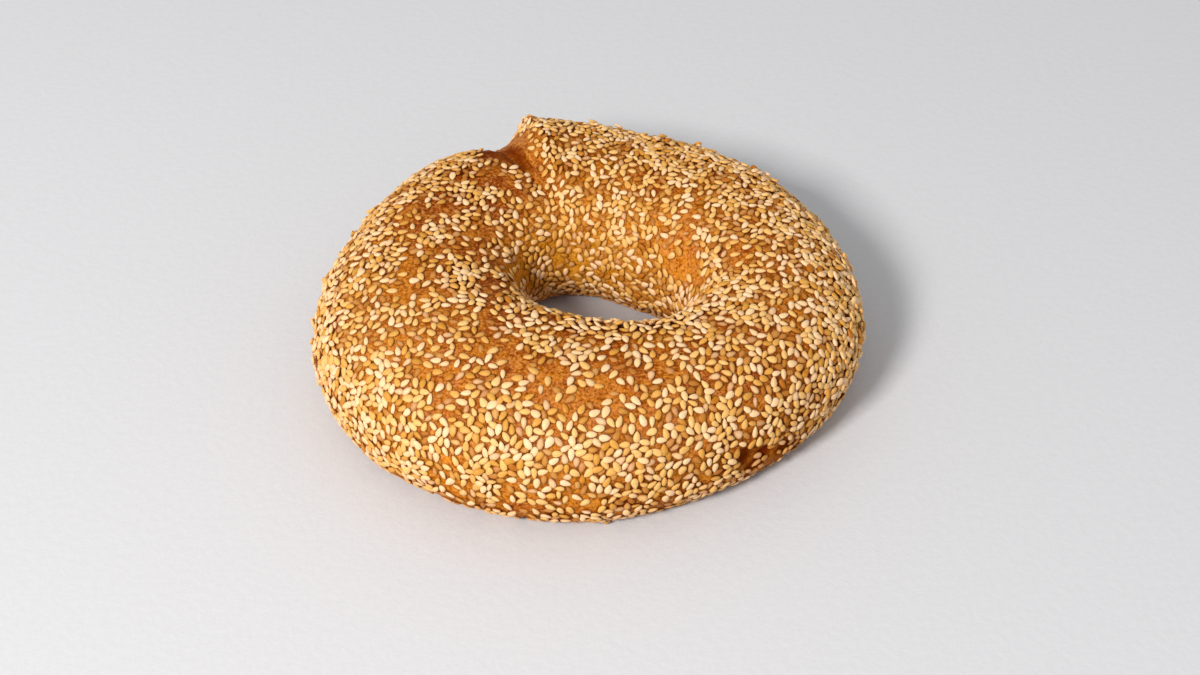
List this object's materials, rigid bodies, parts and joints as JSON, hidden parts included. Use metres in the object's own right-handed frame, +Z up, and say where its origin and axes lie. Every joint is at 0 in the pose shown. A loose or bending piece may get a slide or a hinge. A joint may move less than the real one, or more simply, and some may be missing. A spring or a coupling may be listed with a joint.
{
  "type": "koulouri",
  "caption": "Thick uneven ring of baked bread dough with a joined rope end at the back and sesame seeds all over its crust, for a hand to hold or a stick to thread.",
  "frame": {"origin": "middle of the bounding box in plan, at the level of the flat base that the ring lies on", "axes": "+Z up out of the base, through the hole; -Y towards the side that faces the picture; +X to its right"},
  "size_m": [0.1597, 0.1553, 0.0419],
  "materials": {
    "baked_crust": "satin golden brown baked crust under pale sesame seeds",
    "sesame_seed": "waxy golden roasted hulled sesame"
  },
  "bodies": {
    "root": {"koulouri": "baked_crust"}
  },
  "joints": []
}
